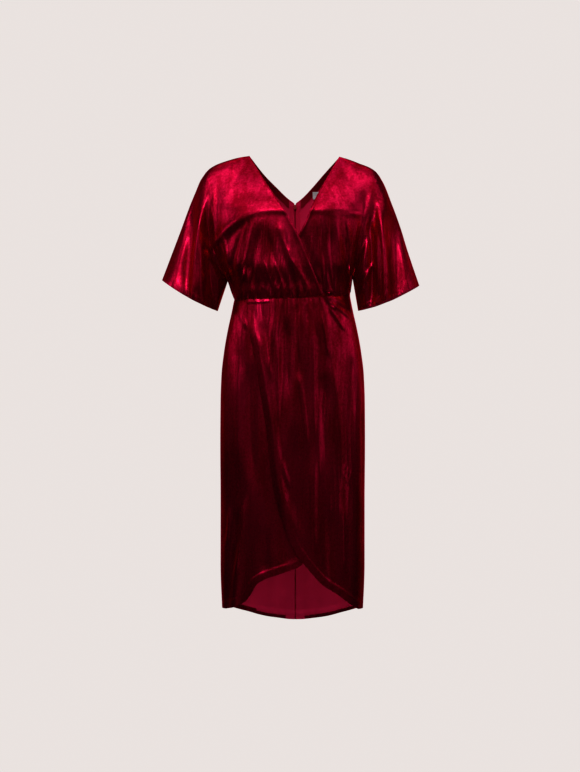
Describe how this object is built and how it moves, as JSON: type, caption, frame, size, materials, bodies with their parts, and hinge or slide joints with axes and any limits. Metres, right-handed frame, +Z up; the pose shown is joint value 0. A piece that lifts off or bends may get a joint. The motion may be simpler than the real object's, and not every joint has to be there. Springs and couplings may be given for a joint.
{
  "type": "wrap dress",
  "caption": "Knee-length wrap dress in stretch velvet with kimono sleeves, a gathered waist and a tulip skirt.",
  "frame": {"origin": "between the shoulders, level with the shoulder seams' rest on them, in the plane of the side seams", "axes": "+Z up, the front faces -Y, the wearer's left is at +X"},
  "size_m": [0.643, 0.2499, 1.175],
  "materials": {
    "velvet": "deep red stretch velvet, pile side out",
    "facing_velvet": "the same velvet seen inside the back neck",
    "zip_tape": "woven tape of a concealed zip",
    "zip_metal": "lacquered red to match the cloth",
    "satin_white": "blank white satin"
  },
  "bodies": {
    "dress": {"bodice_front_right": "velvet", "bodice_front_left": "velvet", "bodice_back_right": "velvet", "bodice_back_left": "velvet", "skirt_front_over": "velvet", "skirt_front_under": "velvet", "skirt_back_right": "velvet", "skirt_back_left": "velvet", "neck_facing_right": "facing_velvet", "neck_facing_left": "facing_velvet", "zip_tape_right": "zip_tape", "zip_tape_left": "zip_tape", "zip_slider": "zip_metal", "label": "satin_white"},
    "zip_pull": {"zip_pull": "zip_metal"}
  },
  "joints": [
    {"name": "pull_swing", "type": "hinge", "parent": "dress", "child": "zip_pull", "pos_m": [0, 0.10075, -0.099], "axis": [1, 0, 0], "range_deg": [0, 150]}
  ]
}
